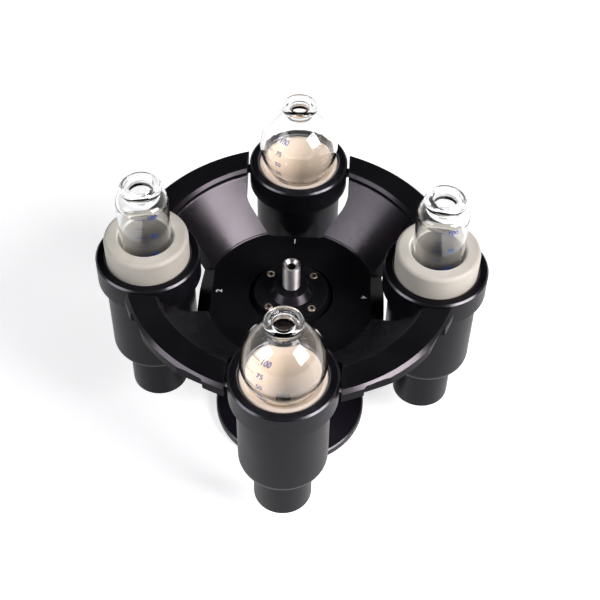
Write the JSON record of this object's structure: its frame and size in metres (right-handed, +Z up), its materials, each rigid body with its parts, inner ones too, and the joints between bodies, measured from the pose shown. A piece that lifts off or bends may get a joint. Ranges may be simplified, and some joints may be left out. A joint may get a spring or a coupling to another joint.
{
  "type": "swing-out centrifuge rotor",
  "caption": "Dished swing-out centrifuge rotor on a stand, with hanging buckets that carry pear-shaped and long-cone glass tubes in plastic inserts.",
  "frame": {"origin": "centre of the stand's underside, on the rotor's spin axis", "axes": "+Z up along the spin axis; place 1 at +Y, 2 at -X, 3 at -Y, 4 at +X"},
  "size_m": [0.2834, 0.2834, 0.2425],
  "materials": {
    "black_anodised": "black anodised, satin, turned and milled",
    "steel": "turned stainless steel",
    "white_plastic": "off-white turned plastic",
    "beige_plastic": "beige turned plastic",
    "clear_glass": "clear blown glass with blue graduations",
    "rubber": "black moulded rubber"
  },
  "bodies": {
    "stand": {"stand_base": "black_anodised", "stand_column": "black_anodised", "stand_screw": "steel"},
    "rotor": {"rotor_bowl": "black_anodised", "hub_plate": "black_anodised", "hub_screws": "steel", "drive_hub": "steel", "trunnion_pin_1a": "steel", "trunnion_pin_1b": "steel", "trunnion_pin_2a": "steel", "trunnion_pin_2b": "steel", "trunnion_pin_3a": "steel", "trunnion_pin_3b": "steel", "trunnion_pin_4a": "steel", "trunnion_pin_4b": "steel"},
    "clamp_screw": {"clamp_screw": "steel", "retaining_ring": "steel"},
    "bucket_1": {"bucket_1": "black_anodised", "insert_1": "beige_plastic", "tube_1": "clear_glass"},
    "bucket_2": {"bucket_2": "black_anodised", "insert_2": "white_plastic", "tube_2": "clear_glass", "cushion_2": "rubber"},
    "bucket_3": {"bucket_3": "black_anodised", "insert_3": "beige_plastic", "tube_3": "clear_glass"},
    "bucket_4": {"bucket_4": "black_anodised", "insert_4": "white_plastic", "tube_4": "clear_glass", "cushion_4": "rubber"}
  },
  "joints": [
    {"name": "rotor_spin", "type": "hinge", "parent": "stand", "child": "rotor", "pos_m": [0, 0, 0.1125], "axis": [0, 0, 1], "continuous": true},
    {"name": "clamp_screw_turn", "type": "hinge", "parent": "rotor", "child": "clamp_screw", "pos_m": [0, 0, 0.1425], "axis": [0, 0, 1], "continuous": true},
    {"name": "bucket_1_swing", "type": "hinge", "parent": "rotor", "child": "bucket_1", "pos_m": [0, 0.104, 0.163], "axis": [1, 0, 0], "range_deg": [0, 90]},
    {"name": "bucket_2_swing", "type": "hinge", "parent": "rotor", "child": "bucket_2", "pos_m": [-0.104, 0, 0.163], "axis": [0, 1, 0], "range_deg": [0, 90]},
    {"name": "bucket_3_swing", "type": "hinge", "parent": "rotor", "child": "bucket_3", "pos_m": [0, -0.104, 0.163], "axis": [-1, 0, 0], "range_deg": [0, 90]},
    {"name": "bucket_4_swing", "type": "hinge", "parent": "rotor", "child": "bucket_4", "pos_m": [0.104, 0, 0.163], "axis": [0, -1, 0], "range_deg": [0, 90]}
  ]
}
